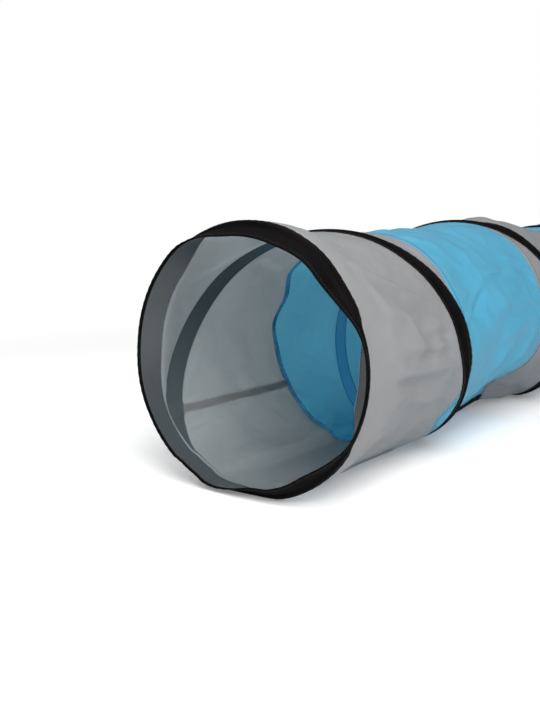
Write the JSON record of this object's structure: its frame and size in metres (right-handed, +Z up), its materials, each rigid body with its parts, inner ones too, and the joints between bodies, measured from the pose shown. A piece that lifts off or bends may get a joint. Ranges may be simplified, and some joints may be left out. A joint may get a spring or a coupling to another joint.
{
  "type": "collapsible pet tunnel",
  "caption": "Pop-up fabric tunnel for cats, held round by a coiled spring wire in a casing tape, with taped hoop mouths and tie ribbons; folds flat.",
  "frame": {"origin": "on the floor under the middle of the tunnel", "axes": "+Y along the tunnel from the front mouth to the rear mouth, +Z up, +X to the right seen from the front mouth"},
  "size_m": [0.2584, 0.915, 0.2458],
  "materials": {
    "grey_polyester": "satin",
    "blue_polyester": "satin",
    "black_tape": "woven",
    "seam_grey": "matte",
    "spring_steel": "drawn",
    "crimp_aluminium": "satin"
  },
  "bodies": {
    "front_mouth": {"front_mouth_tape": "black_tape", "front_hoop_wire": "spring_steel", "front_wire_ferrule": "crimp_aluminium", "coil_spring_wire": "spring_steel", "coil_casing_tape": "black_tape", "panel_1_grey": "grey_polyester", "closing_seam_1": "black_tape"},
    "panel_2_ring": {"panel_seam_1": "seam_grey", "panel_2_blue": "blue_polyester", "closing_seam_2": "black_tape"},
    "panel_3_ring": {"panel_seam_2": "seam_grey", "panel_3_grey": "grey_polyester", "closing_seam_3": "black_tape"},
    "panel_4_ring": {"panel_seam_3": "seam_grey", "panel_4_blue": "blue_polyester", "closing_seam_4": "black_tape"},
    "rear_mouth": {"rear_mouth_tape": "black_tape", "rear_hoop_wire": "spring_steel", "rear_wire_ferrule": "crimp_aluminium", "tie_ribbon_right_inner": "black_tape", "tie_ribbon_right_outer": "black_tape", "tie_ribbon_left_inner": "black_tape", "tie_ribbon_left_outer": "black_tape"}
  },
  "joints": [
    {"name": "fold", "type": "slide", "parent": "front_mouth", "child": "rear_mouth", "axis": [0, -1, 0], "range_m": [0, 0.82], "stiffness_N_per_m": 10, "springref_m": -0.15, "deforming": ["coil_spring_wire", "coil_casing_tape", "rear_mouth_tape", "panel_4_blue", "closing_seam_4"]},
    {"name": "panel_2_fold", "type": "slide", "parent": "front_mouth", "child": "panel_2_ring", "axis": [0, -1, 0], "range_m": [0, 0.19112], "deforming": ["front_mouth_tape", "panel_1_grey", "closing_seam_1", "panel_seam_1"]},
    {"name": "panel_3_fold", "type": "slide", "parent": "front_mouth", "child": "panel_3_ring", "axis": [0, -1, 0], "range_m": [0, 0.4101], "deforming": ["panel_2_blue", "closing_seam_2", "panel_seam_2"]},
    {"name": "panel_4_fold", "type": "slide", "parent": "front_mouth", "child": "panel_4_ring", "axis": [0, -1, 0], "range_m": [0, 0.62908], "deforming": ["panel_3_grey", "closing_seam_3", "panel_seam_3"]}
  ],
  "couplings": [
    {"joint": "panel_2_fold", "follows": "fold", "ratio": 0.23295},
    {"joint": "panel_3_fold", "follows": "fold", "ratio": 0.5},
    {"joint": "panel_4_fold", "follows": "fold", "ratio": 0.76704}
  ]
}
